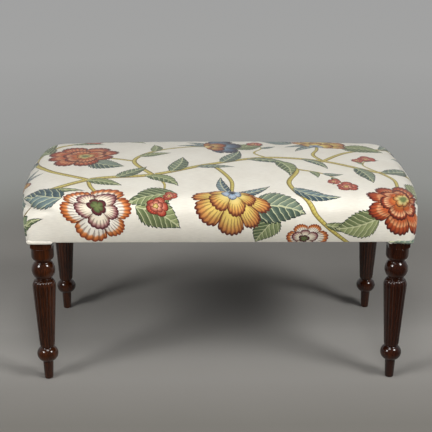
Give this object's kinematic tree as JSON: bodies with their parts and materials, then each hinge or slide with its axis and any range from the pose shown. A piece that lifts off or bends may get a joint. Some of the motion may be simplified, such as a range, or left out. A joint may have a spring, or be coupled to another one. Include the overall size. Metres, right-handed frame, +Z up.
{
  "type": "upholstered footstool",
  "caption": "Long upholstered footstool with a padded fabric seat on turned, reeded mahogany legs.",
  "frame": {"origin": "on the floor, under the middle of the seat", "axes": "+X along the seat's length, -Y towards the front, +Z up"},
  "size_m": [0.8812, 0.483, 0.4531],
  "materials": {
    "leg_wood": "dark polished mahogany, high gloss",
    "frame_wood": "planed beech, bare",
    "screw_steel": "yellow zinc plated",
    "jute_webbing": "coarse plain woven jute",
    "hessian": "open plain woven jute sacking",
    "foam": "open cell polyurethane foam",
    "wadding": "soft white polyester wadding",
    "cover_fabric": "cream linen with a printed flower pattern",
    "dust_cloth": "black cambric, matte"
  },
  "bodies": {
    "root": {"leg_front_left": "leg_wood", "corner_block_front_left": "frame_wood", "screw_front_left_a": "screw_steel", "dowel_front_left_a1": "frame_wood", "dowel_front_left_a2": "frame_wood", "screw_front_left_b": "screw_steel", "dowel_front_left_b1": "frame_wood", "dowel_front_left_b2": "frame_wood", "leg_front_right": "leg_wood", "corner_block_front_right": "frame_wood", "screw_front_right_a": "screw_steel", "dowel_front_right_a1": "frame_wood", "dowel_front_right_a2": "frame_wood", "screw_front_right_b": "screw_steel", "dowel_front_right_b1": "frame_wood", "dowel_front_right_b2": "frame_wood", "leg_back_right": "leg_wood", "corner_block_back_right": "frame_wood", "screw_back_right_a": "screw_steel", "dowel_back_right_a1": "frame_wood", "dowel_back_right_a2": "frame_wood", "screw_back_right_b": "screw_steel", "dowel_back_right_b1": "frame_wood", "dowel_back_right_b2": "frame_wood", "leg_back_left": "leg_wood", "corner_block_back_left": "frame_wood", "screw_back_left_a": "screw_steel", "dowel_back_left_a1": "frame_wood", "dowel_back_left_a2": "frame_wood", "screw_back_left_b": "screw_steel", "dowel_back_left_b1": "frame_wood", "dowel_back_left_b2": "frame_wood", "front_rail": "frame_wood", "right_rail": "frame_wood", "back_rail": "frame_wood", "left_rail": "frame_wood", "cross_web_1": "jute_webbing", "cross_web_2": "jute_webbing", "cross_web_3": "jute_webbing", "cross_web_4": "jute_webbing", "cross_web_5": "jute_webbing", "cross_web_6": "jute_webbing", "cross_web_7": "jute_webbing", "long_web_1": "jute_webbing", "long_web_2": "jute_webbing", "long_web_3": "jute_webbing", "hessian": "hessian", "foam_pad": "foam", "wadding": "wadding", "cover": "cover_fabric", "dust_cover": "dust_cloth"}
  },
  "joints": []
}
